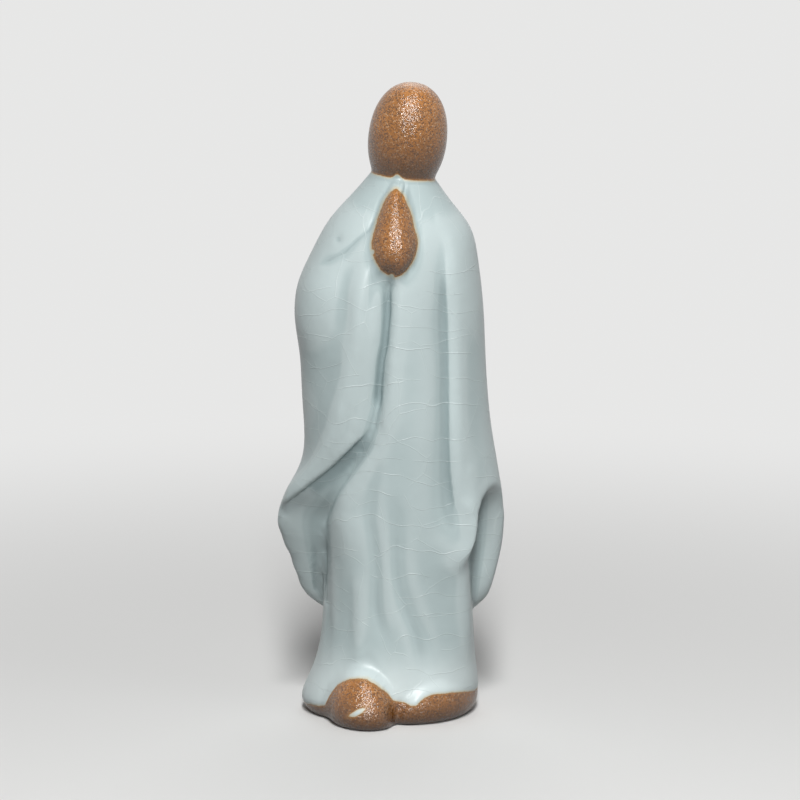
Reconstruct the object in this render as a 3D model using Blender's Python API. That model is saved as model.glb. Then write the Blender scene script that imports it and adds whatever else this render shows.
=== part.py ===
"""A small standing monk, hands joined, slip cast in one piece of stoneware and glazed over its robe.

The outside is lofted from level rings: a skirt, a cloak that hangs over it, and an egg of a head
that bows forward. Folds, hands and shoes are worked into the rings. The cast wall leaves a cavity
that opens through a vent in the base. Metres, +Z up, the monk faces -Y, and the ground is Z = 0.
"""

import math

import bmesh
import bpy
import numpy as np

# Driving dimensions
COLLAR_HEIGHT = 0.1090
CLOAK_WIDTH = 0.0456
CLOAK_DEPTH = 0.0320
SKIRT_WIDTH = 0.0300
SKIRT_DEPTH = 0.0256

HEAD_WIDTH = 0.0158
HEAD_DEPTH = 0.0174
CROWN_RISE = 0.0117
JAW_DROP = 0.0117
CROWN_FULLNESS = 0.91
HEAD_BOW = math.radians(8)
HEAD_ROLL = math.radians(7)
NECK_LATITUDE = math.radians(38)
NECK_ACROSS = 0.0022
NECK_BACK = 0.0002
COLLAR_LIP = 0.0008

HANDS_LENGTH = 0.0166
HANDS_WIDTH = 0.0090
HANDS_HEEL_RELIEF = 0.0034
FINGERTIP_RELIEF = 0.0046
HANDS_WIDEST = 0.38
HANDS_ACROSS = 0.0004
HANDS_LEAN = 0.0004
HANDS_BELOW_COLLAR = 0.0010

SHOE_WIDTH = 0.0150
SHOE_HEIGHT = 0.0124
SHOE_REACH = 0.0064
SHOE_ACROSS = -0.0065
REAR_SHOE_WIDTH = 0.0170
REAR_SHOE_HEIGHT = 0.0088
REAR_SHOE_REACH = 0.0016
REAR_SHOE_ACROSS = 0.0090

BASE_EDGE_HEIGHT = 0.0034
BASE_EDGE_INSET = 0.0020
WALL = 0.0035
BASE_THICKNESS = 0.0040
VENT_RADIUS = 0.0040
CAVITY_TOP_BELOW_COLLAR = 0.0110
CAVITY_DOME_RISE = 0.0105
CAVITY_DOME_TURNS = (25, 50, 72)
DEEPEST_FOLD = 0.0020

# Shares of the collar height: where the rings begin to roll with the head, and between which
# heights the cavity widens from the skirt to the cloak
COLLAR_ROLL_FROM = 0.88
CAVITY_SHOULDER = (0.56, 0.70)

# Powers that shape the hands and the shoes
MOUND_BLUNTNESS = 0.55
FINGER_TAPER = 1.1
FINGER_FULLNESS = 0.3

# Share of a shoe's form over which it rises softly out of the skirt
SHOE_FOOT = 0.40

# Loft resolution
AROUND = 72
FRONT_CROWDING = 0.38
HEAD_RINGS = 11
EDGE_RINGS = 4
CAVITY_RINGS = 12

# Bands of rings from the base edge to the collar: share of the collar height, rings up to it
RING_BANDS = ((0.11, 8), (0.17, 3), (0.215, 4), (0.36, 7), (0.56, 16), (0.79, 8), (1.0, 12))

# Outlines: share of the collar height, then left and right as shares of half the width,
# then front and back as shares of half the depth
SKIRT_OUTLINE = (
    (0.000, 1.220, 1.150, 1.13, 1.13),
    (0.028, 1.220, 1.165, 1.14, 1.14),
    (0.070, 1.105, 1.150, 1.08, 1.09),
    (0.112, 1.000, 1.115, 1.02, 1.03),
    (0.160, 0.940, 1.090, 0.99, 1.00),
    (0.230, 0.920, 1.065, 0.99, 0.98),
    (0.312, 0.925, 1.055, 1.02, 0.98),
    (0.413, 0.965, 1.090, 1.06, 1.00),
    (0.550, 1.035, 1.170, 1.11, 1.04),
    (1.000, 1.035, 1.170, 1.11, 1.04),
)
CLOAK_OUTLINE = (
    (0.000, 0.690, 0.790, 0.78, 0.96),
    (0.165, 0.735, 0.800, 0.79, 0.98),
    (0.216, 0.925, 0.910, 0.80, 1.00),
    (0.266, 0.955, 0.982, 0.81, 1.00),
    (0.312, 0.992, 1.028, 0.83, 1.00),
    (0.362, 1.020, 1.028, 0.85, 0.99),
    (0.417, 0.925, 0.974, 0.87, 0.97),
    (0.472, 0.800, 0.928, 0.88, 0.95),
    (0.532, 0.770, 0.880, 0.90, 0.93),
    (0.606, 0.790, 0.840, 0.91, 0.91),
    (0.679, 0.807, 0.818, 0.91, 0.89),
    (0.752, 0.850, 0.798, 0.91, 0.86),
    (0.812, 0.812, 0.772, 0.89, 0.83),
    (0.867, 0.693, 0.737, 0.82, 0.78),
    (0.923, 0.530, 0.655, 0.69, 0.69),
    (0.960, 0.352, 0.530, 0.56, 0.57),
    (1.000, 0.190, 0.390, 0.46, 0.44),
)

# The cloak's lower edge: degrees around from the front, share of the collar height, and how far
# the step to the skirt spreads to either side
CLOAK_EDGE = (
    (-180, 0.195, 0.0016),
    (-158, 0.180, 0.0016),
    (-134, 0.205, 0.0016),
    (-114, 0.186, 0.0016),
    (-110, 0.205, 0.0018),
    (-106, 0.232, 0.0020),
    (-99, 0.275, 0.0022),
    (-91, 0.320, 0.0022),
    (-84, 0.355, 0.0020),
    (-77, 0.380, 0.0016),
    (-70, 0.399, 0.0012),
    (-62, 0.417, 0.0010),
    (-50, 0.450, 0.0009),
    (-40, 0.480, 0.0009),
    (-30, 0.509, 0.0010),
    (-20, 0.538, 0.0020),
    (-9, 0.552, 0.0060),
    (14, 0.470, 0.0140),
    (33, 0.355, 0.0110),
    (42, 0.318, 0.0070),
    (47, 0.322, 0.0035),
    (50, 0.348, 0.0026),
    (53, 0.380, 0.0024),
    (58, 0.404, 0.0022),
    (67, 0.417, 0.0022),
    (76, 0.412, 0.0022),
    (85, 0.390, 0.0022),
    (91, 0.345, 0.0022),
    (94, 0.290, 0.0020),
    (95, 0.240, 0.0020),
    (98, 0.205, 0.0018),
    (104, 0.190, 0.0018),
    (116, 0.185, 0.0016),
    (138, 0.205, 0.0016),
    (160, 0.180, 0.0016),
    (180, 0.195, 0.0016),
)

# Folds: outward rise, width on the left side, width on the right side, then the path as
# degrees around from the front, share of the collar height and strength
FOLDS = {
    "sleeve_groove": (
        -0.0019, 0.0019, 0.0009,
        (
            (-1, 0.850, 0.5), (0, 0.800, 1.0), (-1, 0.745, 1.0), (-5, 0.690, 1.0),
            (-8, 0.645, 1.0), (-11, 0.600, 0.9), (-15, 0.565, 0.7), (-21, 0.543, 0.6),
        ),
    ),
    "front_panel_edge": (
        0.0003, 0.0009, 0.0040,
        (
            (4, 0.830, 0.6), (3.5, 0.745, 1.0), (0, 0.690, 1.0), (-3, 0.645, 1.0),
            (-6, 0.600, 0.8), (-8, 0.560, 0.3),
        ),
    ),
    "sleeve_crest": (
        0.0008, 0.0030, 0.0011,
        (
            (-17, 0.870, 0.4), (-17, 0.800, 0.8), (-18, 0.750, 1.0), (-21, 0.706, 1.0),
            (-25, 0.670, 1.0), (-28, 0.635, 1.0), (-32, 0.600, 1.1), (-38, 0.560, 1.2),
            (-45, 0.524, 1.3), (-54, 0.486, 1.4), (-66, 0.448, 1.3), (-80, 0.418, 0.8),
        ),
    ),
    "sleeve_hollow": (
        -0.0009, 0.0040, 0.0014,
        (
            (-6, 0.665, 0.1), (-8, 0.630, 0.7), (-11, 0.595, 1.0), (-15, 0.560, 1.0),
            (-21, 0.540, 0.3),
        ),
    ),
    "sleeve_tuck": (
        -0.0016, 0.0010, 0.0024,
        (
            (-16, 0.549, 0.2), (-23, 0.530, 0.8), (-31, 0.504, 1.1), (-41, 0.474, 1.1),
            (-50, 0.447, 0.9), (-62, 0.414, 0.8), (-76, 0.386, 0.7), (-90, 0.366, 0.2),
        ),
    ),
    "narrow_pleat": (
        -0.0004, 0.0010, 0.0010,
        (
            (-11.5, 0.860, 0.6), (-11, 0.800, 1.0), (-11, 0.765, 0.5), (-12, 0.740, 0.0),
        ),
    ),
    "upper_sleeve_valley": (
        -0.0005, 0.0024, 0.0020,
        (
            (-31, 0.860, 0.2), (-29, 0.800, 1.0), (-28, 0.755, 0.7), (-28, 0.720, 0.0),
        ),
    ),
    "right_panel_groove": (
        -0.0011, 0.0036, 0.0010,
        (
            (36, 0.910, 0.2), (36, 0.835, 0.6), (37, 0.790, 0.8), (37, 0.750, 1.0),
            (36, 0.680, 1.0), (35, 0.620, 1.0), (32.5, 0.560, 1.0), (31, 0.500, 1.0),
            (32, 0.455, 1.0), (34, 0.410, 0.8), (37, 0.370, 0.5), (39, 0.340, 0.1),
        ),
    ),
    "right_panel_crest": (
        0.0005, 0.0011, 0.0034,
        (
            (43, 0.860, 0.3), (43, 0.750, 0.7), (42, 0.660, 0.9), (39, 0.560, 1.0),
            (37.5, 0.490, 1.0), (39, 0.430, 1.1), (42, 0.385, 1.2), (46, 0.345, 0.7),
            (50, 0.318, 0.2),
        ),
    ),
    "shoulder_crease": (
        -0.0004, 0.0009, 0.0012,
        (
            (-24, 0.979, 0.2), (-24, 0.940, 0.5), (-26, 0.915, 0.8), (-32, 0.897, 1.0),
            (-39, 0.876, 1.0), (-50, 0.860, 0.8), (-61, 0.846, 0.2),
        ),
    ),
    "elbow_swell": (
        0.0008, 0.0060, 0.0060,
        (
            (-52, 0.800, 1.0), (-60, 0.740, 1.0),
        ),
    ),
    "right_forearm_swell": (
        0.0005, 0.0055, 0.0055,
        (
            (48, 0.840, 1.0), (62, 0.770, 1.0),
        ),
    ),
    "knee_swell": (
        0.0009, 0.0050, 0.0050,
        (
            (-42, 0.400, 0.6), (-40, 0.360, 1.0), (-38, 0.300, 0.5),
        ),
    ),
    "skirt_middle_valley": (
        -0.0007, 0.0018, 0.0024,
        (
            (-2, 0.420, 0.2), (0, 0.380, 0.6), (0, 0.330, 0.9), (1, 0.278, 1.0),
            (5, 0.234, 1.0), (10, 0.200, 1.0), (15, 0.167, 1.0), (20, 0.124, 0.8),
            (24, 0.090, 0.2),
        ),
    ),
    "skirt_left_valley": (
        -0.0005, 0.0015, 0.0015,
        (
            (-15, 0.484, 0.2), (-20, 0.400, 0.6), (-19, 0.355, 0.8), (-16, 0.296, 0.9),
            (-16, 0.243, 1.0), (-15, 0.206, 1.0), (-12, 0.175, 0.6), (-8, 0.140, 0.0),
        ),
    ),
    "skirt_knee_ridge": (
        0.0006, 0.0022, 0.0022,
        (
            (-32, 0.280, 0.2), (-30, 0.243, 0.8), (-30, 0.190, 1.0), (-29, 0.133, 0.7),
            (-29, 0.100, 0.2),
        ),
    ),
    "skirt_side_groove": (
        -0.0004, 0.0022, 0.0018,
        (
            (-72, 0.375, 0.2), (-70, 0.345, 0.8), (-69, 0.310, 1.0), (-69, 0.280, 1.0),
            (-69, 0.243, 1.0), (-68, 0.209, 0.9), (-67, 0.175, 0.8), (-65, 0.150, 0.6),
            (-64, 0.115, 0.1),
        ),
    ),
    "wing_pleat": (
        -0.0006, 0.0012, 0.0012,
        (
            (-78, 0.340, 0.2), (-79, 0.290, 1.0), (-82, 0.245, 1.0), (-85, 0.222, 0.6),
        ),
    ),
    "skirt_right_ridge": (
        0.0022, 0.0045, 0.0040,
        (
            (44, 0.345, 0.4), (49, 0.315, 1.0), (54, 0.275, 1.0), (58, 0.220, 0.8),
            (61, 0.160, 0.5), (63, 0.100, 0.1),
        ),
    ),
    "back_middle_valley": (
        -0.0010, 0.0036, 0.0028,
        (
            (172, 0.900, 0.0), (174, 0.740, 0.6), (172, 0.520, 1.0), (168, 0.340, 1.2),
            (163, 0.200, 1.3),
        ),
    ),
    "back_left_valley": (
        -0.0010, 0.0030, 0.0034,
        (
            (-152, 0.880, 0.0), (-148, 0.720, 0.6), (-144, 0.500, 0.9), (-140, 0.330, 1.2),
            (-136, 0.200, 1.3),
        ),
    ),
    "back_left_ridge": (
        0.0006, 0.0034, 0.0034,
        (
            (-170, 0.840, 0.0), (-167, 0.600, 0.8), (-163, 0.380, 1.1), (-158, 0.190, 1.3),
        ),
    ),
    "back_right_valley": (
        -0.0009, 0.0032, 0.0030,
        (
            (132, 0.860, 0.0), (130, 0.660, 0.8), (128, 0.450, 0.9), (126, 0.300, 1.1),
            (122, 0.200, 1.2),
        ),
    ),
    "back_right_ridge": (
        0.0005, 0.0034, 0.0034,
        (
            (152, 0.860, 0.0), (150, 0.620, 0.8), (146, 0.400, 1.1), (142, 0.200, 1.3),
        ),
    ),
    "left_side_valley": (
        -0.0007, 0.0026, 0.0030,
        (
            (-112, 0.720, 0.0), (-113, 0.540, 0.7), (-116, 0.380, 1.0), (-118, 0.220, 1.0),
        ),
    ),
    "right_side_valley": (
        -0.0006, 0.0030, 0.0026,
        (
            (98, 0.740, 0.0), (100, 0.560, 0.7), (103, 0.400, 1.0), (106, 0.240, 1.0),
        ),
    ),
    "skirt_back_valley": (
        -0.0008, 0.0020, 0.0022,
        (
            (176, 0.190, 0.8), (174, 0.110, 1.0), (171, 0.050, 0.4),
        ),
    ),
    "skirt_back_left_valley": (
        -0.0008, 0.0020, 0.0022,
        (
            (-146, 0.190, 0.8), (-143, 0.110, 1.0), (-140, 0.050, 0.4),
        ),
    ),
    "skirt_back_right_valley": (
        -0.0008, 0.0022, 0.0020,
        (
            (138, 0.190, 0.8), (135, 0.110, 1.0), (132, 0.050, 0.4),
        ),
    ),
    "skirt_left_back_valley": (
        -0.0007, 0.0018, 0.0020,
        (
            (-108, 0.190, 0.8), (-106, 0.120, 1.0), (-104, 0.060, 0.4),
        ),
    ),
    "skirt_right_back_valley": (
        -0.0007, 0.0020, 0.0018,
        (
            (101, 0.190, 0.8), (99, 0.120, 1.0), (97, 0.060, 0.4),
        ),
    ),
}
PATH_SAMPLES = 4
GIRTH_RADIUS = 0.018

GLAZE = ("celadon_glaze", (0.50, 0.585, 0.585, 1.0), 0.12)
CLAY = ("bare_clay", (0.33, 0.155, 0.062, 1.0), 0.55)
GLAZE_LINE = 0.0050


def clear_scene():
    for leftover in list(bpy.data.objects):
        bpy.data.objects.remove(leftover)


def material(name, colour, roughness):
    made = bpy.data.materials.new(name)
    made.use_nodes = True
    shader = made.node_tree.nodes["Principled BSDF"]
    shader.inputs["Base Color"].default_value = colour
    shader.inputs["Roughness"].default_value = roughness
    shader.inputs["Metallic"].default_value = 0.0
    made.diffuse_color = colour
    return made


def spline(knots, values, at):
    """Natural cubic spline through (knots, values), read at the places in at."""
    knots, values = np.asarray(knots, float), np.asarray(values, float)
    step, slope = np.diff(knots), np.diff(values) / np.diff(knots)
    matrix = np.eye(len(knots))
    right = np.zeros(len(knots))
    for i in range(1, len(knots) - 1):
        matrix[i, i - 1 : i + 2] = step[i - 1], 2 * (step[i - 1] + step[i]), step[i]
        right[i] = 6 * (slope[i] - slope[i - 1])
    bend = np.linalg.solve(matrix, right)
    i = np.clip(np.searchsorted(knots, at) - 1, 0, len(step) - 1)
    before, after, h = at - knots[i], knots[i + 1] - at, step[i]
    curved = (bend[i] * after**3 + bend[i + 1] * before**3) / (6 * h)
    straight = (values[i] / h - bend[i] * h / 6) * after + (values[i + 1] / h - bend[i + 1] * h / 6) * before
    return curved + straight


def ease(x):
    """0 below 0, 1 above 1, and smooth between them."""
    x = np.clip(x, 0, 1)
    return x * x * (3 - 2 * x)


def outline(table, width, depth, angle, height):
    """Points on a garment's plain outline: rings made of four quarter ellipses."""
    rows = np.array(table)
    share = height / COLLAR_HEIGHT
    left, right, front, back = (spline(rows[:, 0], rows[:, column], share) for column in (1, 2, 3, 4))
    middle = (right - left) * width / 4
    half_width = (right + left) * width / 4
    half_depth = np.where(np.cos(angle) > 0, front, back) * depth / 2
    return np.stack([middle + half_width * np.sin(angle), -half_depth * np.cos(angle), height], axis=-1)


def nearest_on_path(angle, height, path):
    """Distance in the unrolled surface to a path, side of it, and its third value there."""
    path = np.array(path)
    knots = np.arange(len(path))
    read = np.linspace(0, knots[-1], PATH_SAMPLES * knots[-1] + 1)
    across, share, value = (spline(knots, path[:, column], read) for column in (0, 1, 2))
    line = np.stack([np.radians(across) * GIRTH_RADIUS, share * COLLAR_HEIGHT], axis=-1)
    point = np.stack([angle * GIRTH_RADIUS, height], axis=-1)
    nearest = np.full(angle.shape, np.inf)
    side = np.zeros(angle.shape)
    found = np.zeros(angle.shape)
    for turn in (-1, 0, 1):
        start_line = line + np.array([turn * 2 * math.pi * GIRTH_RADIUS, 0])
        for i in range(len(line) - 1):
            along = start_line[i + 1] - start_line[i]
            offset = point - start_line[i]
            share_along = np.clip((offset @ along) / (along @ along), 0, 1)
            gap = offset - share_along[..., None] * along
            distance = np.hypot(gap[..., 0], gap[..., 1])
            closer = distance < nearest
            nearest = np.where(closer, distance, nearest)
            side = np.where(closer, np.sign(along[0] * offset[..., 1] - along[1] * offset[..., 0]), side)
            found = np.where(closer, value[i] + (value[i + 1] - value[i]) * share_along, found)
    return nearest, side, found


def cloak_cover(angle, height):
    """1 where the cloak covers the skirt, 0 below its edge."""
    distance, side, spread = nearest_on_path(angle, height, CLOAK_EDGE)
    return ease((1 + side * distance / spread) / 2)


def fold_rise(angle, height, fold):
    """Outward rise of one fold, which falls off with the distance to its path."""
    rise, left_width, right_width, path = fold
    distance, side, strength = nearest_on_path(angle, height, path)
    width = np.where(side < 0, left_width, right_width)
    return rise * np.clip(strength, 0, None) * np.exp(-((distance / width) ** 2))


def mound(spread):
    """Height of a blunt rounded form, from the square of the distance to its middle."""
    return np.clip(1 - spread, 0, None) ** MOUND_BLUNTNESS


def push_forward(point, amount):
    """Moves the front half of the rings towards the viewer."""
    point[..., 1] -= np.where(point[..., 1] < 0, amount, 0)


def add_shoe(point, width, height, reach, across):
    side = (point[..., 0] - across) / (width / 2)
    spread = side**2 + (point[..., 2] / height) ** 2
    push_forward(point, reach * mound(spread) * ease((1 - spread) / SHOE_FOOT))


def add_hands(point):
    """Joined hands: a bud that is widest low down and narrows to the fingertips."""
    foot = COLLAR_HEIGHT - HANDS_BELOW_COLLAR - HANDS_LENGTH
    share = (point[..., 2] - foot) / HANDS_LENGTH
    below = np.clip(HANDS_WIDEST - share, 0, None) / HANDS_WIDEST
    above = np.clip(share - HANDS_WIDEST, 0, None) / (1 - HANDS_WIDEST)
    taper = np.clip(1 - below**2 - above**FINGER_TAPER, 0, None)
    half_width = HANDS_WIDTH / 2 * np.sqrt(taper) + 1e-6
    side = (point[..., 0] - HANDS_ACROSS - HANDS_LEAN * share) / half_width
    relief = HANDS_HEEL_RELIEF + (FINGERTIP_RELIEF - HANDS_HEEL_RELIEF) * share
    push_forward(point, relief * taper**FINGER_FULLNESS * mound(side**2))


def tilt_collar(point):
    """The rings roll with the head as they near the collar."""
    lean = ease((point[..., 2] / COLLAR_HEIGHT - COLLAR_ROLL_FROM) / (1 - COLLAR_ROLL_FROM))
    point[..., 2] -= lean * (point[..., 0] - NECK_ACROSS) * math.sin(HEAD_ROLL)


def garment(angle, height):
    """Points of the robe's surface at these angles round from the front and heights."""
    skirt = outline(SKIRT_OUTLINE, SKIRT_WIDTH, SKIRT_DEPTH, angle, height)
    cloak = outline(CLOAK_OUTLINE, CLOAK_WIDTH, CLOAK_DEPTH, angle, height)
    cover = cloak_cover(angle, height)[..., None]
    point = skirt + (cloak - skirt) * cover
    rise = sum(fold_rise(angle, height, fold) for fold in FOLDS.values())
    outward = np.stack([np.sin(angle), -np.cos(angle)], axis=-1)
    point[..., :2] += rise[..., None] * outward
    add_hands(point)
    add_shoe(point, SHOE_WIDTH, SHOE_HEIGHT, SHOE_REACH, SHOE_ACROSS)
    add_shoe(point, REAR_SHOE_WIDTH, REAR_SHOE_HEIGHT, REAR_SHOE_REACH, REAR_SHOE_ACROSS)
    tilt_collar(point)
    return point


def head(angle, latitude):
    """Points of the head's egg, which leans forward and rolls about the middle of the neck."""
    fullness = np.where(latitude > 0, CROWN_FULLNESS, 1.0)
    rise = np.where(latitude > 0, CROWN_RISE, JAW_DROP)
    girth = np.cos(latitude) ** fullness
    climb = np.sign(latitude) * np.abs(np.sin(latitude)) ** fullness
    x = HEAD_WIDTH / 2 * girth * np.sin(angle)
    z = rise * climb + JAW_DROP * math.sin(NECK_LATITUDE)
    y = -HEAD_DEPTH / 2 * girth * np.cos(angle) - z * math.tan(HEAD_BOW)
    rolled_x = x * math.cos(HEAD_ROLL) + z * math.sin(HEAD_ROLL)
    rolled_z = z * math.cos(HEAD_ROLL) - x * math.sin(HEAD_ROLL)
    return np.stack([rolled_x + NECK_ACROSS, y + NECK_BACK, rolled_z + COLLAR_HEIGHT + COLLAR_LIP], axis=-1)


def ring_angles(count):
    """Angles round from the front, from -180 to 180 degrees, closer together at the front."""
    even = np.linspace(-math.pi, math.pi, count, endpoint=False)
    return even - FRONT_CROWDING * np.sin(even)


def base_edge_rings(angle):
    """The rounded edge between the flat base and the hem, from the flat up."""
    rings = []
    for turn in np.linspace(0, math.pi / 2, EDGE_RINGS, endpoint=False):
        height = BASE_EDGE_HEIGHT * (1 - math.cos(turn))
        inset = BASE_EDGE_INSET * (1 - math.sin(turn))
        ring = garment(angle, np.full(angle.shape, height))
        inward = np.hypot(ring[:, 0], ring[:, 1])[:, None]
        ring[:, :2] *= 1 - inset / inward
        rings.append(ring)
    return rings


def garment_rings(angle):
    """Rings from the top of the base's edge to the collar, at the pitch of each band."""
    heights = [BASE_EDGE_HEIGHT]
    for share, count in RING_BANDS:
        heights += list(np.linspace(heights[-1], share * COLLAR_HEIGHT, count + 1)[1:])
    return [garment(angle, np.full(angle.shape, height)) for height in heights]


def head_rings(angle):
    latitudes = np.linspace(-NECK_LATITUDE, math.pi / 2, HEAD_RINGS, endpoint=False)
    return [head(angle, np.full(angle.shape, latitude)) for latitude in latitudes]


def cavity_point(angle, height):
    """The inside of the cast wall: the outline without its folds, moved in by the wall."""
    skirt = outline(SKIRT_OUTLINE, SKIRT_WIDTH, SKIRT_DEPTH, angle, height)
    cloak = outline(CLOAK_OUTLINE, CLOAK_WIDTH, CLOAK_DEPTH, angle, height)
    start, end = CAVITY_SHOULDER
    cover = ease((height / COLLAR_HEIGHT - start) / (end - start))[..., None]
    point = skirt + (cloak - skirt) * cover
    inward = np.stack([np.sin(angle), -np.cos(angle)], axis=-1)
    point[..., :2] -= (WALL + DEEPEST_FOLD) * inward
    return point


def cavity_rings(angle):
    """Rings from the cavity's floor to the ring below its domed top."""
    top = COLLAR_HEIGHT - CAVITY_TOP_BELOW_COLLAR
    dome = top - CAVITY_DOME_RISE
    rings = []
    for height in np.linspace(BASE_THICKNESS, dome, CAVITY_RINGS):
        rings.append(cavity_point(angle, np.full(angle.shape, height)))
    widest = rings[-1]
    middle = widest.mean(axis=0)
    for turn in np.radians(CAVITY_DOME_TURNS):
        ring = middle + (widest - middle) * math.cos(turn)
        ring[:, 2] = dome + (top - dome) * math.sin(turn)
        rings.append(ring)
    return rings, np.array([middle[0], middle[1], top])


def vent_ring(angle, height):
    return np.stack([VENT_RADIUS * np.sin(angle), -VENT_RADIUS * np.cos(angle), np.full(angle.shape, height)], axis=-1)


def add_ring(mesh, points):
    return [mesh.verts.new(point) for point in points]


def stitch(mesh, lower, upper):
    """Faces between two rings. The upper one has as many points, or half as many."""
    count = len(lower)
    if len(upper) == count:
        for i in range(count):
            j = (i + 1) % count
            mesh.faces.new((lower[i], lower[j], upper[j], upper[i]))
        return
    for i in range(len(upper)):
        j = (i + 1) % len(upper)
        first, second, third = lower[2 * i], lower[2 * i + 1], lower[(2 * i + 2) % count]
        mesh.faces.new((first, second, upper[i]))
        mesh.faces.new((second, third, upper[j], upper[i]))


def close(mesh, ring, tip):
    """A fan of triangles from a ring to one point."""
    point = mesh.verts.new(tip)
    for i in range(len(ring)):
        mesh.faces.new((ring[i], ring[(i + 1) % len(ring)], point))


def build_statue():
    angle, cavity_angle = ring_angles(AROUND), ring_angles(AROUND)[::2]
    mesh = bmesh.new()

    outside = [add_ring(mesh, ring) for ring in base_edge_rings(angle) + garment_rings(angle) + head_rings(angle)]
    for lower, upper in zip(outside[:-1], outside[1:]):
        stitch(mesh, lower, upper)
    crown = head(np.array([0.0]), np.array([math.pi / 2]))[0]
    close(mesh, outside[-1], crown)

    vent_mouth = add_ring(mesh, vent_ring(cavity_angle, 0.0))
    stitch(mesh, outside[0], vent_mouth)
    rings, cavity_tip = cavity_rings(cavity_angle)
    inside = [vent_mouth, add_ring(mesh, vent_ring(cavity_angle, BASE_THICKNESS))]
    inside += [add_ring(mesh, ring) for ring in rings]
    for lower, upper in zip(inside[:-1], inside[1:]):
        stitch(mesh, lower, upper)
    close(mesh, inside[-1], cavity_tip)

    bmesh.ops.recalc_face_normals(mesh, faces=mesh.faces)
    data = bpy.data.meshes.new("monk_statue")
    mesh.to_mesh(data)
    mesh.free()
    return data


def centre_on_footprint(data):
    """Moves the mesh so that the middle of its bounding box stands over the origin."""
    points = np.array([vertex.co for vertex in data.vertices])
    shift = -(points.min(axis=0) + points.max(axis=0)) / 2
    for vertex in data.vertices:
        vertex.co.x += shift[0]
        vertex.co.y += shift[1]


def paint(data):
    """Glaze on the robe, bare clay on the head, the base band and inside."""
    for slot in (GLAZE, CLAY):
        data.materials.append(material(*slot))
    for face in data.polygons:
        middle = face.center
        bare = middle.z < GLAZE_LINE or middle.z > COLLAR_HEIGHT + COLLAR_LIP
        face.material_index = 1 if bare else 0


def main():
    clear_scene()
    data = build_statue()
    centre_on_footprint(data)
    paint(data)
    data.shade_smooth()
    data.set_sharp_from_angle(angle=math.radians(60))
    statue = bpy.data.objects.new("monk_statue", data)
    bpy.context.scene.collection.objects.link(statue)


main()
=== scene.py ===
"""Looks of the ceramic monk: crackled celadon glaze over the robe, bare burnished clay elsewhere.

The statue's solid is subdivided and gets the glaze's own thickness and the sharper creases of its
folds. One procedural material covers it, and point attributes say where the clay is bare, where
the glaze pools, how deep the creases are for their colour of pooled glaze and painted shade, and
where shade is painted low on the clay. Lengths are in metres, except where a name or a comment says mm.
"""

import math

import bmesh
import bpy
import numpy as np
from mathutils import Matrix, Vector, noise


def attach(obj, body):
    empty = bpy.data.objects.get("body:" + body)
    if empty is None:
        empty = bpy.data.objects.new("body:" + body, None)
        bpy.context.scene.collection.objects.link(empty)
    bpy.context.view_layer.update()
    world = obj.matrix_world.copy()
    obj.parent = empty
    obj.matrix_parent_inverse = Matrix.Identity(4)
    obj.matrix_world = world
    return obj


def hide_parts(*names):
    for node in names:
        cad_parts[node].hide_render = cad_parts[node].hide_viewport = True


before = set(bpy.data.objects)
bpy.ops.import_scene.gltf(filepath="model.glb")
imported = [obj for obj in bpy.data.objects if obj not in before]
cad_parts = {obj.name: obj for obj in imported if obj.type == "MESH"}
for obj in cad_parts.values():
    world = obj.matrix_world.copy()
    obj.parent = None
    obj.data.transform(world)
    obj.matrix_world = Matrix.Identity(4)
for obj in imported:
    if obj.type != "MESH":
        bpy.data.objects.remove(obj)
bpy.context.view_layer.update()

# Camera: the photograph's viewing angle, on a square frame
CAMERA_TARGET = Vector((0.00174, 0.00201, 0.0640))
CAMERA_ELEVATION = math.radians(10.5)
CAMERA_DISTANCE = 0.900
FRAME_WIDTH = 0.1612
SENSOR_MM = 36.0

# Units, and how many times the solid is subdivided
MM_PER_METRE = 1000
SUBDIVISIONS = 2

# Statue's axis, and the measures that the glaze's borders are set from
AXIS_MM = (0.14, 2.01)
COLLAR_MM = 109.8
NECK_X_MM = 2.2
HEAD_ROLL = math.radians(7)
HANDS_FOOT_MM = 91.4
HANDS_LENGTH_MM = 16.6
HANDS_HALF_WIDTH_MM = 4.4
HANDS_WIDEST = 0.38
HANDS_TIP_TAPER = 1.25
HANDS_ROUNDING = 1.2
HANDS_X_MM = 0.55
HANDS_LEAN_MM = 0.35
HANDS_NOTCHES_MM = ((-3.7, 96.2), (0.2, 91.5))
NOTCH_RADIUS_MM = 0.55

# Where the glaze runs up onto the neck, and a streak of it on the shoe: its middle and half size
NECK_RUN_X_MM = 1.2
NECK_RUN_MM = (0.9, 0.9)
STREAK_MM = (-6.7, 4.1)
STREAK_SIZE_MM = (1.7, 0.6)
STREAK_SLOPE = 0.5

# Lower border of the glaze: degrees around from the front, height in mm
HEM_LINE = (
    (-180, 4.6), (-150, 3.4), (-120, 2.6), (-88, 1.5), (-72, 2.2), (-59, 2.7), (-53, 3.0), (-49, 5.2),
    (-43, 7.8), (-37, 8.8), (-31, 9.5), (-25, 9.9), (-18, 9.9), (-13, 9.1), (-8, 8.0), (-3, 6.7),
    (1, 5.2), (10, 4.8), (14, 4.2), (18, 4.2), (21, 5.0), (25, 5.8), (30, 6.2), (38, 6.2),
    (48, 6.0), (60, 5.5), (74, 4.8), (90, 4.6), (120, 4.4), (150, 4.0), (180, 4.6),
)

# How far the borders stray, the sizes of their broad and fine bumps, the fine ones' share and shift,
# and the finest fraying, which the material adds
BORDER_WANDER_MM = 0.14
BORDER_BUMPS_MM = (2.6, 1.1)
FINE_BUMPS_SHARE = 0.5
BUMPS_SHIFT_MM = 40
BORDER_FRAY_MM = 0.22

# Distances from the borders are held within these: first the one from the hands, then the result
FAR_OFF_MM = 5
BORDER_REACH_MM = 3.0

# The glaze's thickness, and the width over which it rolls down to the clay at its border
GLAZE_THICKNESS_MM = 0.20
GLAZE_ROLL_MM = 1.3

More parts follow.
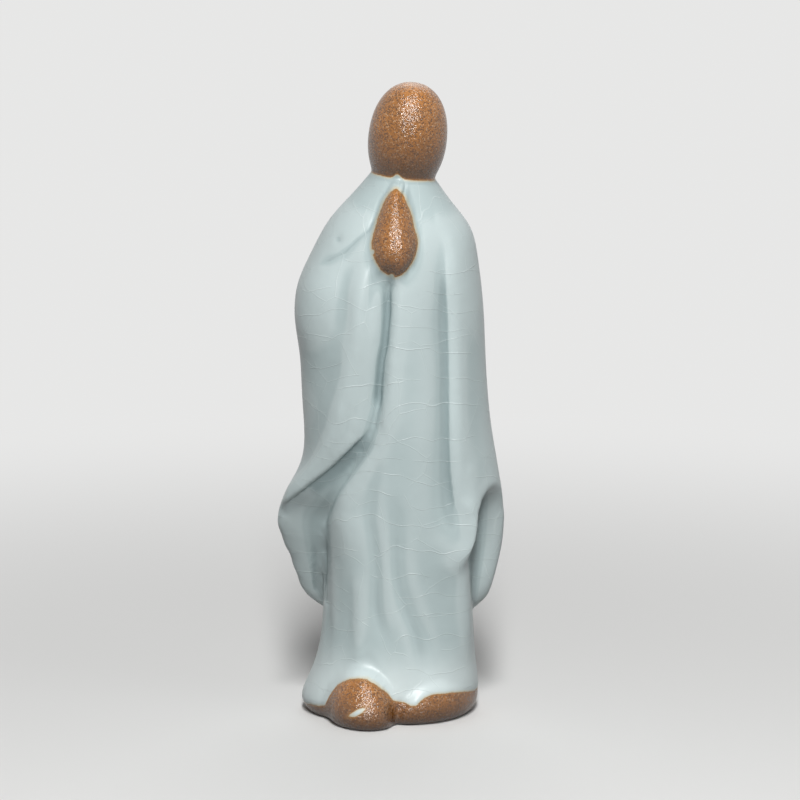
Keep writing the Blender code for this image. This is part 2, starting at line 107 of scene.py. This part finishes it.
# Rounds of smoothing for the surface that hollows and ridges are measured from
HOLLOW_ROUNDS = 40

# The cavity and the vent are the faces below this height that lie this near the axis or turn to it
CAVITY_TOP_MM = 99.0
CAVITY_REACH_MM = 9.0
INWARD_TURN = 0.5

# Creases are full on faces that turn this far to the front, and fade over this share at each end
FRONT_TURN = 0.35
CREASE_FADE = 0.18

# Creases of the front: rise in mm, width to the left and to the right in mm, then the line as
# x and z in mm, from the top down
CREASES = {
    "sleeve": (
        -0.45, 1.20, 0.45,
        (
            (-0.4, 90.8), (-0.3, 87.5), (-0.4, 84.0), (-0.8, 80.2), (-1.0, 77.5), (-1.6, 74.5),
            (-1.9, 71.5), (-2.2, 68.5), (-2.2, 65.8), (-2.5, 63.2),
        ),
    ),
    "sleeve_overhang": (
        -0.60, 0.35, 2.40,
        (
            (-3.7, 60.8), (-5.7, 58.5), (-8.2, 55.8), (-11.2, 52.5), (-13.4, 50.5), (-16.1, 48.2),
            (-18.6, 45.8), (-21.4, 43.2), (-24.5, 41.0), (-27.5, 39.0),
        ),
    ),
    "shoulder": (
        -0.13, 0.45, 0.30,
        (
            (-1.6, 107.1), (-3.0, 102.8), (-4.4, 99.9), (-6.8, 97.8), (-9.1, 95.5), (-12.1, 93.8),
            (-14.9, 92.2),
        ),
    ),
    "wing_pleat": (-0.26, 0.55, 0.55, ((-15.4, 35.0), (-15.7, 28.0), (-15.9, 23.0))),
    "wing_fold": (-0.26, 0.55, 0.55, ((-13.0, 37.0), (-13.2, 26.2), (-13.2, 22.0))),
    "right_panel": (
        -0.30, 1.40, 0.35,
        (
            (10.5, 96.0), (10.6, 91.0), (10.8, 86.2), (11.0, 81.8), (11.1, 76.2), (11.2, 70.8),
            (11.3, 65.2), (11.3, 59.8), (11.5, 54.2), (11.7, 50.5), (12.2, 46.8), (12.6, 43.8),
            (13.0, 41.5),
        ),
    ),
}

# A small dent in the left shoulder: its place in the front view, depth and radius
DENT_MM = (-10.3, 97.9)
DENT_DEPTH_MM = 0.16
DENT_RADIUS_MM = 0.85

# Painted shade on the bare clay, darker low on the shoe and base, the hands and the head, where their
# undersides face down: height in mm, share of the dark colour
CLAY_PAINTED_SHADE = (
    (0.0, 1.00), (3.0, 0.65), (6.0, 0.20), (9.0, 0.0), (91.0, 0.85), (97.0, 0.30), (102.0, 0.0),
    (109.0, 0.0), (109.8, 0.90), (113.0, 0.70), (118.0, 0.25), (122.0, 0.0),
)

# Crackle, on the robe laid out flat: its rows, and the stretched cells between them. Half a line's
# width is a share of its row or cell. Bends are the scale of a noise for each mm and how many mm it
# moves the lines. Gaps are the scale of a noise, and its values where lines start and are full
CRACKLE_GIRTH_MM = 18.0
ROW_MM = 4.8
ROW_LINE = 0.022
ROW_SHIFT = 41.0
ROW_BENDS = ((0.05, 7.0), (0.30, 0.30))
ROW_GAPS = (0.07, 0.40, 0.48)
CELL_MM = (10.0, 8.0)
CELL_LINE = 0.014
CELL_BENDS = ((0.06, 3.0), (0.40, 0.20))
CELL_GAPS = (0.11, 0.42, 0.50)
CELL_LINES_SHOW = 0.7
CRACKLE_SHOWS = 0.32

# Where the glaze's other colours start and where they are full: the depth of a hollow, a ridge and
# a crease, and the height above the ground at the hem. Then how strongly each shows. The crease
# colour is partly pooled glaze and partly painted shade in and below the folds; the paler hem is
# partly thinner glaze and partly a painted reflection
POOLED_MM = (0.02, 0.20)
THIN_MM = (0.0, -0.10)
CREASE_POOL_AND_SHADE_MM = (0.0, 0.40)
HEM_THIN_AND_REFLECTION_MM = (18.0, 8.0)
POOLED_SHOWS = 0.40
THIN_SHOWS = 0.45
CREASE_POOL_AND_SHADE_SHOWS = 0.95
HEM_THIN_AND_REFLECTION_SHOWS = 0.90

# Colours along the border, by the distance from it, which is below 0 on the glaze: the glaze's rim,
# the dark line, the clay's stained rim, and the change from glaze to clay
GLAZE_RIM_MM = (-0.60, -0.10)
DARK_LINE_MM = (-0.16, -0.02)
CLAY_RIM_MM = (0.40, 0.0)
CHANGE_MM = (-0.04, 0.04)
GLAZE_RIM_SHOWS = 0.60
CLAY_RIM_SHOWS = 0.60

# Marks of the clay, and how many of each there are for each mm
PATCHES_PER_MM = 0.16
GRAINS_PER_MM = 3.8
SPECKS_PER_MM = 0.75

# Each grain draws a tone from 0 to 1: where grains turn dark and pale, and how strongly. The pale
# grains are partly pale grains of the clay and partly painted glints. A speck's size is a share of
# the distance between specks
DARK_GRAINS = (0.50, 0.05)
PALE_GRAINS_AND_GLINTS = (0.86, 0.94)
SPECK_SIZE = (0.08, 0.20)
DARK_GRAINS_SHOW = 0.80
PALE_GRAINS_AND_GLINTS_SHOW = 0.45
SPECKS_SHOW = 0.60

# Fine relief: waves and rags for each mm, and depths in metres
GLAZE_WAVES_PER_MM = 0.30
CLAY_WAVES_PER_MM = 1.3
RAGS_PER_MM = 3.0
GRAIN_DEPTH = 0.00007
CLAY_WAVE_DEPTH = 0.00017
CRACKLE_DEPTH = 0.00004
GLAZE_WAVE_DEPTH = 0.00008

# Shine of the glaze and of the burnished clay
CERAMIC_IOR = 1.5
GLAZE_ROUGHNESS = 0.36
CLAY_ROUGHNESS = 0.22
CLAY_SPECULAR = 0.9

# Surface colours, as linear light
CELADON = (0.475, 0.570, 0.572, 1.0)
# Deeper celadon of pooled glaze, also the painted shade in the creases
CELADON_POOLED_AND_SHADE = (0.270, 0.345, 0.352, 1.0)
# Paler celadon of thinner glaze, also the painted reflection at the hem
CELADON_THIN_AND_REFLECTION = (0.655, 0.740, 0.738, 1.0)
CRACKLE = (0.720, 0.800, 0.790, 1.0)
GLAZE_EDGE = (0.600, 0.520, 0.330, 1.0)
BORDER_LINE = (0.360, 0.170, 0.040, 1.0)
CLAY_LIGHT = (0.490, 0.180, 0.018, 1.0)
# Darker clay, also the painted shade low on the clay
CLAY_DARK = (0.080, 0.030, 0.007, 1.0)
CLAY_PORE = (0.045, 0.022, 0.012, 1.0)
# Pale grains of the clay, partly painted glints
CLAY_GRAIN_AND_GLINT = (0.700, 0.500, 0.320, 1.0)
WHITE = (1.000, 1.000, 1.000, 1.0)
FLOOR = (0.780, 0.780, 0.770, 1.0)
FLOOR_BOUNCE = (0.100, 0.100, 0.100, 1.0)
BACKGROUND = (0.800, 0.800, 0.795, 1.0)

# Lamps: degrees around from the front, degrees up, then distance, width and height, then watts
LAMPS = {
    "key": (1, 41, 0.90, 0.10, 0.75, 9.4),
    "fill": (60, 20, 0.90, 0.40, 0.40, 0.4),
    "back": (175, 40, 0.90, 0.60, 0.60, 1.6),
}
WORLD_LIGHT = 0.08

# Floor, and the distances from its middle between which it turns into plain background
FLOOR_RADIUS = 3.0
FADE_START = 0.05
FADE_END = 0.32


def smooth_step(value, low, high):
    share = np.clip((value - low) / (high - low), 0, 1)
    return share * share * (3 - 2 * share)


def dense_copy(node):
    """The node's facets joined into quads and subdivided twice, as a new mesh."""
    cage_mesh = bmesh.new()
    cage_mesh.from_mesh(node.data)
    bmesh.ops.remove_doubles(cage_mesh, verts=cage_mesh.verts, dist=1e-6)
    bmesh.ops.join_triangles(
        cage_mesh, faces=cage_mesh.faces, angle_face_threshold=math.pi, angle_shape_threshold=math.pi
    )
    data = bpy.data.meshes.new("cage")
    cage_mesh.to_mesh(data)
    cage_mesh.free()
    cage = bpy.data.objects.new("cage", data)
    bpy.context.scene.collection.objects.link(cage)
    smoothing = cage.modifiers.new("smoothing", "SUBSURF")
    smoothing.levels = SUBDIVISIONS
    smoothing.render_levels = SUBDIVISIONS
    evaluated = cage.evaluated_get(bpy.context.evaluated_depsgraph_get())
    dense = bpy.data.meshes.new_from_object(evaluated)
    bpy.data.objects.remove(cage)
    return dense


def read_points(data):
    values = np.empty(len(data.vertices) * 3)
    data.vertices.foreach_get("co", values)
    return values.reshape(-1, 3) * MM_PER_METRE


def read_normals(data):
    values = np.empty(len(data.vertices) * 3)
    data.vertices.foreach_get("normal", values)
    return values.reshape(-1, 3)


def write_points(data, points):
    data.vertices.foreach_set("co", (points / MM_PER_METRE).ravel())
    data.update()


def write_attribute(data, name, values):
    data.attributes.new(name, "FLOAT", "POINT").data.foreach_set("value", values.astype(np.float32))


def wander(points, size_mm):
    """Smooth noise at each point, from about -1 to 1, with bumps of about this size."""
    return np.array([noise.noise(Vector(point) / size_mm) for point in points])


def distance_to_line(points, line):
    """Distance in the front view to a line, the side of it, and how far along it that is."""
    line = np.array(line)
    place = points[:, (0, 2)]
    nearest = np.full(len(points), np.inf)
    side = np.zeros(len(points))
    along = np.zeros(len(points))
    for i in range(len(line) - 1):
        step = line[i + 1] - line[i]
        offset = place - line[i]
        share = np.clip(offset @ step / (step @ step), 0, 1)
        gap = offset - share[:, None] * step
        distance = np.hypot(gap[:, 0], gap[:, 1])
        closer = distance < nearest
        nearest = np.where(closer, distance, nearest)
        side = np.where(closer, np.sign(step[0] * offset[:, 1] - step[1] * offset[:, 0]), side)
        along = np.where(closer, (i + share) / (len(line) - 1), along)
    return nearest, side, along


def crease_rise(points, crease):
    """How far one crease moves the surface out, in mm. It fades towards both ends of its line."""
    rise, left_width, right_width, line = crease
    distance, side, along = distance_to_line(points, line)
    width = np.where(side < 0, left_width, right_width)
    fade = smooth_step(along, 0, CREASE_FADE) * smooth_step(1 - along, 0, CREASE_FADE)
    return rise * fade * np.exp(-((distance / width) ** 2))


def dent_rise(points):
    """How far the dent in the shoulder moves the surface out, in mm."""
    distance = np.hypot(points[:, 0] - DENT_MM[0], points[:, 2] - DENT_MM[1])
    return -DENT_DEPTH_MM * np.exp(-((distance / DENT_RADIUS_MM) ** 2))


def head_border(points):
    """Height in mm above the collar's line, which rolls with the head."""
    rise, spread = NECK_RUN_MM
    run = rise * np.exp(-(((points[:, 0] - NECK_RUN_X_MM) / spread) ** 2))
    above = points[:, 2] - COLLAR_MM + (points[:, 0] - NECK_X_MM) * math.tan(HEAD_ROLL)
    return above - np.where(points[:, 1] < AXIS_MM[1], run, 0)


def hands_border(points, normals):
    """Distance in mm inside the outline of the joined hands, on the front only."""

    def level(x, z):
        share = (z - HANDS_FOOT_MM) / HANDS_LENGTH_MM
        below = np.clip(HANDS_WIDEST - share, 0, None) / HANDS_WIDEST
        above = np.clip(share - HANDS_WIDEST, 0, None) / (1 - HANDS_WIDEST)
        side = (x - HANDS_X_MM - HANDS_LEAN_MM * share) / HANDS_HALF_WIDTH_MM
        taper = 1 - below**2 - above**HANDS_TIP_TAPER
        return np.sign(taper) * np.abs(taper) ** HANDS_ROUNDING - side**2

    x, z = points[:, 0], points[:, 2]
    step = 0.05
    across = level(x + step, z) - level(x - step, z)
    along = level(x, z + step) - level(x, z - step)
    inside = level(x, z) * 2 * step / np.clip(np.hypot(across, along), 0.01, None)
    for notch_x, notch_z in HANDS_NOTCHES_MM:
        inside = np.minimum(inside, np.hypot(x - notch_x, z - notch_z) - NOTCH_RADIUS_MM)
    return np.where(normals[:, 1] < 0, np.clip(inside, -FAR_OFF_MM, FAR_OFF_MM), -FAR_OFF_MM)


def hem_border(points):
    """Height in mm below the glaze's lower border, and away from the streak on the shoe."""
    around = np.degrees(np.arctan2(points[:, 0] - AXIS_MM[0], AXIS_MM[1] - points[:, 1]))
    line = np.array(HEM_LINE)
    below = np.interp(around, line[:, 0], line[:, 1]) - points[:, 2]
    across = points[:, 0] - STREAK_MM[0]
    up = points[:, 2] - STREAK_MM[1] - STREAK_SLOPE * across
    half_length, half_width = STREAK_SIZE_MM
    streak = (np.hypot(across / half_length, up / half_width) - 1) * half_width
    return np.where(points[:, 1] < 0, np.minimum(below, streak), below)


def inside_wall(points, normals):
    """True on the faces of the vent and the cavity."""
    across = points[:, :2] - np.array(AXIS_MM)
    reach = np.hypot(across[:, 0], across[:, 1])
    inward = (across * normals[:, :2]).sum(axis=1) < -INWARD_TURN * reach
    return (points[:, 2] < CAVITY_TOP_MM) & (inward | (reach < CAVITY_REACH_MM))


def bare_distance(points, normals):
    """Distance in mm from the glaze's border, positive where the clay is bare."""
    borders = [head_border(points), hands_border(points, normals), hem_border(points)]
    distance = np.maximum.reduce(borders)
    broad, fine = BORDER_BUMPS_MM
    bumps = wander(points, broad) + FINE_BUMPS_SHARE * wander(points + BUMPS_SHIFT_MM, fine)
    distance = np.clip(distance + BORDER_WANDER_MM * bumps, -BORDER_REACH_MM, BORDER_REACH_MM)
    return np.where(inside_wall(points, normals), BORDER_REACH_MM, distance)


def hollow_depth(data, points, normals):
    """How far each point lies below the smoothed surface, in mm: above 0 in hollows."""
    edges = np.empty(len(data.edges) * 2, dtype=np.int64)
    data.edges.foreach_get("vertices", edges)
    start, end = edges[0::2], edges[1::2]
    count = np.bincount(np.concatenate([start, end]), minlength=len(points))
    smoothed = points.copy()
    for _ in range(HOLLOW_ROUNDS):
        total = np.empty_like(smoothed)
        for axis in range(3):
            total[:, axis] = np.bincount(start, smoothed[end, axis], len(points))
            total[:, axis] += np.bincount(end, smoothed[start, axis], len(points))
        smoothed = total / count[:, None]
    return ((smoothed - points) * normals).sum(axis=1)


class Shading:
    """Adds shader nodes to a material and joins them."""

    def __init__(self, tree):
        self.tree = tree
        tree.nodes.clear()

    def feed(self, socket, value):
        if isinstance(value, bpy.types.NodeSocket):
            self.tree.links.new(value, socket)
        else:
            socket.default_value = value

    def add(self, kind, inputs, **settings):
        node = self.tree.nodes.new(kind)
        for name, value in settings.items():
            setattr(node, name, value)
        for name, value in inputs.items():
            self.feed(node.inputs[name], value)
        return node

    def calculate(self, operation, first, second=0.0):
        return self.add("ShaderNodeMath", {0: first, 1: second}, operation=operation).outputs[0]

    def between(self, value, low, high, start=0.0, end=1.0):
        inputs = {"Value": value, "From Min": low, "From Max": high, "To Min": start, "To Max": end}
        return self.add("ShaderNodeMapRange", inputs, interpolation_type="SMOOTHSTEP").outputs[0]

    def mix(self, share, first, second):
        return self.add("ShaderNodeMix", {0: share, 6: first, 7: second}, data_type="RGBA").outputs[2]

    def noise(self, place, scale, detail=2.0, output="Fac"):
        inputs = {"Vector": place, "Scale": scale, "Detail": detail}
        return self.add("ShaderNodeTexNoise", inputs).outputs[output]

    def cells(self, place, scale, feature, dimensions="3D"):
        inputs = {"Vector": place, "Scale": scale}
        settings = {"feature": feature, "voronoi_dimensions": dimensions}
        return self.add("ShaderNodeTexVoronoi", inputs, **settings).outputs

    def measure(self, name):
        """One of the mesh's own point attributes."""
        return self.add("ShaderNodeAttribute", {}, attribute_name=name).outputs["Fac"]

    def apart(self, place):
        """The place's X, Y and Z."""
        return self.add("ShaderNodeSeparateXYZ", {"Vector": place}).outputs

    def combine(self, operation, first, second):
        return self.add("ShaderNodeVectorMath", {0: first, 1: second}, operation=operation).outputs[0]

    def stretch(self, place, amounts):
        return self.combine("MULTIPLY", place, amounts)

    def seen_or_mirrored(self):
        """1 where the camera, a mirror or a glass looks, and 0 for the light that falls on things."""
        rays = self.add("ShaderNodeLightPath", {}).outputs
        seen = self.calculate("MAXIMUM", rays["Is Camera Ray"], rays["Is Glossy Ray"])
        return self.calculate("MAXIMUM", seen, rays["Is Transmission Ray"])

    def bend(self, place, bends):
        """The place, moved about by noises, each with its scale and how far it moves at most."""
        for scale, amount in bends:
            moved = self.noise(place, scale, 2.0, "Color")
            centred = self.combine("SUBTRACT", moved, (0.5, 0.5, 0.5))
            place = self.combine("ADD", place, self.stretch(centred, (2 * amount,) * 3))
        return place

    def with_gaps(self, line, place, gaps):
        """The line, left out where a noise at the place is low."""
        scale, starts, full = gaps
        shown = self.between(self.noise(place, scale, 1.0), starts, full)
        return self.calculate("MULTIPLY", line, shown)

    def bump(self, height, depth, normal=None):
        inputs = {"Height": height, "Distance": depth, "Strength": 1.0}
        if normal is not None:
            inputs["Normal"] = normal
        return self.add("ShaderNodeBump", inputs).outputs[0]


def laid_flat(shading, place):
    """The robe's surface laid out flat, in mm: around from the front, then up."""
    part = shading.apart(place)
    across = shading.calculate("SUBTRACT", part["X"], AXIS_MM[0])
    forward = shading.calculate("SUBTRACT", AXIS_MM[1], part["Y"])
    turn = shading.calculate("ARCTAN2", across, forward)
    around = shading.calculate("MULTIPLY", turn, CRACKLE_GIRTH_MM)
    return shading.add("ShaderNodeCombineXYZ", {"X": around, "Y": part["Z"], "Z": 0.0}).outputs[0]


def level_crackle(shading, flat):
    """Hairlines that run around the robe one above the other, bent and with gaps."""
    part = shading.apart(shading.bend(flat, ROW_BENDS))
    row = shading.calculate("DIVIDE", part["Y"], ROW_MM)
    off_line = shading.calculate("SUBTRACT", shading.calculate("FRACT", row), 0.5)
    line = shading.between(shading.calculate("ABSOLUTE", off_line), 0.0, ROW_LINE, 1.0, 0.0)
    own_row = shading.calculate("MULTIPLY", shading.calculate("FLOOR", row), ROW_SHIFT)
    along = shading.add("ShaderNodeCombineXYZ", {"X": part["X"], "Y": own_row, "Z": 0.0}).outputs[0]
    return shading.with_gaps(line, along, ROW_GAPS)


def slanted_crackle(shading, flat):
    """Shorter hairlines between the level ones, from the edges of stretched cells."""
    width, height = CELL_MM
    squared = shading.stretch(shading.bend(flat, CELL_BENDS), (1 / width, 1 / height, 0))
    edge = shading.cells(squared, 1.0, "DISTANCE_TO_EDGE", "2D")
    line = shading.between(edge["Distance"], 0.0, CELL_LINE, 1.0, 0.0)
    return shading.with_gaps(line, flat, CELL_GAPS)


def glaze_shader(shading, place, bare, hollow, crease):
    """Celadon: paler where it thins over ridges, deeper where it pools, darker in the creases with
    pooled glaze and painted shade, paler at the hem with thinner glaze and a painted reflection, with a
    fine crackle.
    """
    pooled = shading.between(hollow, *POOLED_MM)
    thin = shading.between(hollow, *THIN_MM)
    colour = shading.mix(shading.calculate("MULTIPLY", pooled, POOLED_SHOWS), CELADON, CELADON_POOLED_AND_SHADE)
    # Darker in the creases: partly glaze pooled in the folds, partly painted shade in and below them
    colour = shading.mix(shading.between(crease, *CREASE_POOL_AND_SHADE_MM, 0.0, CREASE_POOL_AND_SHADE_SHOWS), colour, CELADON_POOLED_AND_SHADE)
    colour = shading.mix(shading.calculate("MULTIPLY", thin, THIN_SHOWS), colour, CELADON_THIN_AND_REFLECTION)
    flat = laid_flat(shading, place)
    # Paler towards the hem: partly thinner glaze, partly a painted reflection
    hem_thin_and_reflection = shading.between(shading.apart(flat)["Y"], *HEM_THIN_AND_REFLECTION_MM, 0.0, HEM_THIN_AND_REFLECTION_SHOWS)
    colour = shading.mix(hem_thin_and_reflection, colour, CELADON_THIN_AND_REFLECTION)
    slanted = shading.calculate("MULTIPLY", slanted_crackle(shading, flat), CELL_LINES_SHOW)
    lines = shading.calculate("MAXIMUM", level_crackle(shading, flat), slanted)
    colour = shading.mix(shading.calculate("MULTIPLY", lines, CRACKLE_SHOWS), colour, CRACKLE)
    rim = shading.between(bare, *GLAZE_RIM_MM)
    colour = shading.mix(shading.calculate("MULTIPLY", rim, GLAZE_RIM_SHOWS), colour, GLAZE_EDGE)
    colour = shading.mix(shading.between(bare, *DARK_LINE_MM), colour, BORDER_LINE)
    waves = shading.bump(shading.noise(place, GLAZE_WAVES_PER_MM, 1.0), GLAZE_WAVE_DEPTH)
    inputs = {
        "Base Color": colour,
        "Roughness": GLAZE_ROUGHNESS,
        "Normal": shading.bump(lines, CRACKLE_DEPTH, waves),
        "IOR": CERAMIC_IOR,
    }
    return shading.add("ShaderNodeBsdfPrincipled", inputs).outputs[0]


def clay_shader(shading, place, bare, painted_shade):
    """Burnished brown clay: a coarse grain with pale grains partly painted as glints, dark specks,
    darker patches, and painted shade low on each bare part.
    """
    patch = shading.between(shading.noise(place, PATCHES_PER_MM), 0.3, 0.7, 0.65, 1.0)
    colour = shading.mix(patch, CLAY_DARK, CLAY_LIGHT)
    grains = shading.cells(place, GRAINS_PER_MM, "F1")
    tone = shading.add("ShaderNodeSeparateColor", {"Color": grains["Color"]}).outputs["Red"]
    colour = shading.mix(shading.between(tone, *DARK_GRAINS, 0.0, DARK_GRAINS_SHOW), colour, CLAY_DARK)
    # Pale grains: partly pale grains of the clay, partly painted glints
    colour = shading.mix(shading.between(tone, *PALE_GRAINS_AND_GLINTS, 0.0, PALE_GRAINS_AND_GLINTS_SHOW), colour, CLAY_GRAIN_AND_GLINT)
    # Painted shade, darker low on each bare part
    colour = shading.mix(painted_shade, colour, CLAY_DARK)
    speck = shading.cells(place, SPECKS_PER_MM, "F1")["Distance"]
    colour = shading.mix(shading.between(speck, *SPECK_SIZE, SPECKS_SHOW, 0.0), colour, CLAY_PORE)
    colour = shading.mix(shading.between(bare, *CLAY_RIM_MM, 0.0, CLAY_RIM_SHOWS), colour, BORDER_LINE)
    height = shading.calculate("SUBTRACT", 1.0, grains["Distance"])
    waves = shading.bump(shading.noise(place, CLAY_WAVES_PER_MM), CLAY_WAVE_DEPTH)
    inputs = {
        "Base Color": colour,
        "Roughness": CLAY_ROUGHNESS,
        "Normal": shading.bump(height, GRAIN_DEPTH, waves),
        "IOR": CERAMIC_IOR,
        "Specular IOR Level": CLAY_SPECULAR,
    }
    return shading.add("ShaderNodeBsdfPrincipled", inputs).outputs[0]


def stoneware_material():
    made = bpy.data.materials.new("glazed_stoneware")
    made.use_nodes = True
    shading = Shading(made.node_tree)
    where = shading.add("ShaderNodeTexCoord", {}).outputs["Object"]
    place = shading.stretch(where, (MM_PER_METRE,) * 3)
    ragged = shading.calculate("SUBTRACT", shading.noise(place, RAGS_PER_MM), 0.5)
    fray = shading.calculate("MULTIPLY", ragged, BORDER_FRAY_MM)
    edge = shading.calculate("ADD", shading.measure("bare"), fray)
    glaze = glaze_shader(shading, place, edge, shading.measure("hollow"), shading.measure("crease"))
    clay = clay_shader(shading, place, edge, shading.measure("painted_shade"))
    share = shading.between(edge, *CHANGE_MM)
    mixed = shading.add("ShaderNodeMixShader", {0: share, 1: glaze, 2: clay})
    shading.add("ShaderNodeOutputMaterial", {"Surface": mixed.outputs[0]})
    return made


def make_statue():
    """The statue as seen: the CAD form with its fine creases and the glaze's thickness."""
    data = dense_copy(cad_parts["monk_statue"])
    points, normals = read_points(data), read_normals(data)
    front = smooth_step(-normals[:, 1], 0, FRONT_TURN) * ~inside_wall(points, normals)
    creases = dent_rise(points) + sum(crease_rise(points, crease) for crease in CREASES.values())
    creases *= front
    points += creases[:, None] * normals
    write_points(data, points)
    normals = read_normals(data)
    bare = bare_distance(points, normals)
    skin = GLAZE_THICKNESS_MM * np.sqrt(smooth_step(-bare, 0, GLAZE_ROLL_MM))
    points += skin[:, None] * normals
    write_points(data, points)
    write_attribute(data, "bare", bare)
    # How deep the creases are, for their colour of pooled glaze and painted shade
    write_attribute(data, "crease", -creases)
    # Painted shade low on the bare clay, by height
    write_attribute(data, "painted_shade", np.interp(points[:, 2], *zip(*CLAY_PAINTED_SHADE)))
    write_attribute(data, "hollow", hollow_depth(data, points, read_normals(data)))
    data.materials.clear()
    data.materials.append(stoneware_material())
    data.shade_smooth()
    statue = bpy.data.objects.new("glazed_monk_statue", data)
    bpy.context.scene.collection.objects.link(statue)
    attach(statue, "root")
    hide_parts("monk_statue")


def floor_material():
    """Pale and matt around the statue, where it keeps the shadow, and plain background further off."""
    made = bpy.data.materials.new("floor")
    made.use_nodes = True
    shading = Shading(made.node_tree)
    seen = shading.seen_or_mirrored()
    colour = shading.mix(seen, FLOOR_BOUNCE, FLOOR)
    matt = shading.add("ShaderNodeBsdfDiffuse", {"Color": colour}).outputs[0]
    plain = shading.add("ShaderNodeEmission", {"Color": BACKGROUND, "Strength": 1.0}).outputs[0]
    where = shading.add("ShaderNodeTexCoord", {}).outputs["Object"]
    reach = shading.add("ShaderNodeVectorMath", {0: where}, operation="LENGTH").outputs["Value"]
    far = shading.between(reach, FADE_START, FADE_END)
    share = shading.calculate("MULTIPLY", far, seen)
    mixed = shading.add("ShaderNodeMixShader", {0: share, 1: matt, 2: plain})
    shading.add("ShaderNodeOutputMaterial", {"Surface": mixed.outputs[0]})
    return made


def make_floor():
    mesh = bmesh.new()
    bmesh.ops.create_circle(mesh, cap_ends=True, segments=96, radius=FLOOR_RADIUS)
    data = bpy.data.meshes.new("floor")
    mesh.to_mesh(data)
    mesh.free()
    data.materials.append(floor_material())
    floor = bpy.data.objects.new("floor", data)
    bpy.context.scene.collection.objects.link(floor)


def make_world():
    world = bpy.data.worlds.new("studio")
    bpy.context.scene.world = world
    world.use_nodes = True
    shading = Shading(world.node_tree)
    light = shading.add("ShaderNodeBackground", {"Color": WHITE, "Strength": WORLD_LIGHT}).outputs[0]
    plain = shading.add("ShaderNodeBackground", {"Color": BACKGROUND, "Strength": 1.0}).outputs[0]
    mixed = shading.add("ShaderNodeMixShader", {0: shading.seen_or_mirrored(), 1: light, 2: plain})
    shading.add("ShaderNodeOutputWorld", {"Surface": mixed.outputs[0]})


def direction(around, up):
    """Unit vector towards a place this far around from the front and this far up, in radians."""
    return Vector((math.sin(around) * math.cos(up), -math.cos(around) * math.cos(up), math.sin(up)))


def aim(thing, target, towards, distance):
    thing.location = target + towards * distance
    thing.rotation_euler = (-towards).to_track_quat("-Z", "Y").to_euler()
    bpy.context.scene.collection.objects.link(thing)


def make_lamps():
    for name, (around, up, distance, width, height, watts) in LAMPS.items():
        data = bpy.data.lights.new(name, "AREA")
        data.shape = "RECTANGLE"
        data.size = width
        data.size_y = height
        data.energy = watts
        lamp = bpy.data.objects.new(name, data)
        aim(lamp, CAMERA_TARGET, direction(math.radians(around), math.radians(up)), distance)


def make_camera():
    data = bpy.data.cameras.new("camera")
    data.sensor_width = SENSOR_MM
    data.lens = SENSOR_MM * CAMERA_DISTANCE / FRAME_WIDTH
    data.clip_start = 0.01
    camera = bpy.data.objects.new("camera", data)
    aim(camera, CAMERA_TARGET, direction(0, CAMERA_ELEVATION), CAMERA_DISTANCE)
    bpy.context.scene.camera = camera


make_camera()
make_world()
make_lamps()
make_floor()
make_statue()
bpy.context.scene.view_settings.view_transform = "Standard"
